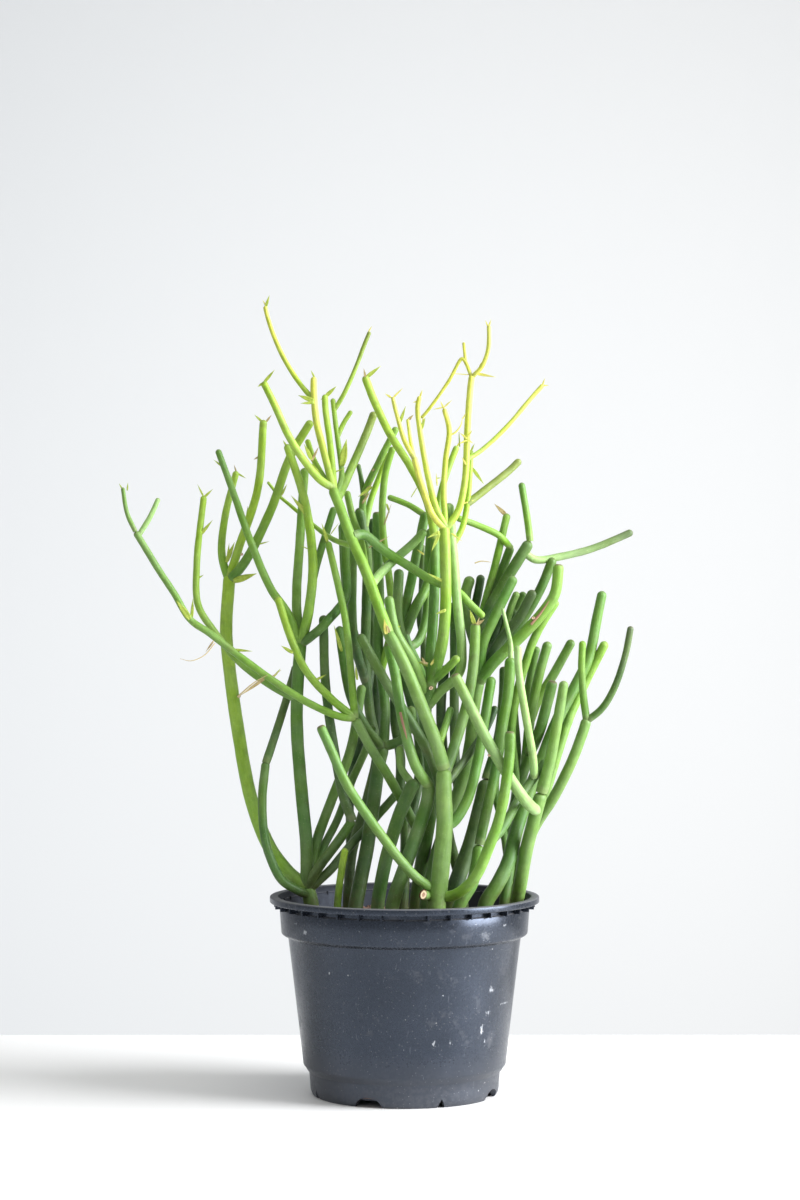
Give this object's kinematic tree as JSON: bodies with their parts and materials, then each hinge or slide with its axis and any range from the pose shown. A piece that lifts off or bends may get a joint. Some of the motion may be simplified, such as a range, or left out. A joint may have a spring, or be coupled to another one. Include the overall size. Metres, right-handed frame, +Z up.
{
  "type": "potted pencil cactus",
  "caption": "Tangle of slim leafless green stems that fork and cross, rooted in brown soil in a round black plastic nursery pot.",
  "frame": {"origin": "middle of the pot's underside, on the surface that the pot stands on", "axes": "+Z up along the pot's axis, -Y towards the side that the picture shows, +X to its right"},
  "size_m": [0.3119, 0.165, 0.4866],
  "materials": {
    "pot_plastic": "satin, dusty",
    "peat": "dry, crumbly",
    "stem_skin": "satin, waxy",
    "leaf": "satin"
  },
  "bodies": {
    "root": {"pot": "pot_plastic", "soil": "peat", "stem_front": "stem_skin", "stem_right_trunk": "stem_skin", "stem_right_long": "stem_skin", "stem_right_outer": "stem_skin", "stem_right_back": "stem_skin", "stem_dark_right": "stem_skin", "stem_right_near": "stem_skin", "stem_dark_diagonal": "stem_skin", "stem_center": "stem_skin", "stem_back_right": "stem_skin", "stem_light_left": "stem_skin", "stem_mid_left": "stem_skin", "stem_back_left": "stem_skin", "stem_back_middle": "stem_skin", "stem_blue_green": "stem_skin", "stem_olive": "stem_skin", "stem_left": "stem_skin", "stem_short": "stem_skin", "leaf_broad": "leaf", "leaf_sweep_tip": "leaf", "leaf_upright_side": "leaf", "leaf_upright_low": "leaf", "leaf_upright_tip": "leaf", "leaf_yellow_tip": "leaf", "leaf_middle_tip": "leaf", "leaf_middle_dry": "leaf", "leaf_near_side": "leaf", "leaf_outer_low": "leaf", "leaf_outer_top": "leaf", "leaf_outer_fork": "leaf", "leaf_far_side": "leaf", "leaf_far_tip": "leaf", "leaf_long_outer": "leaf", "leaf_long_upper": "leaf", "leaf_long_dry": "leaf", "leaf_long_under": "leaf", "leaf_bright_side": "leaf", "leaf_light_tip": "leaf", "leaf_fork_left": "leaf", "leaf_main_low": "leaf", "leaf_main_high": "leaf", "leaf_yellow_side": "leaf", "leaf_yellow_left": "leaf", "leaf_red_tip": "leaf", "leaf_curled": "leaf", "leaf_back_dry": "leaf"}
  },
  "joints": []
}
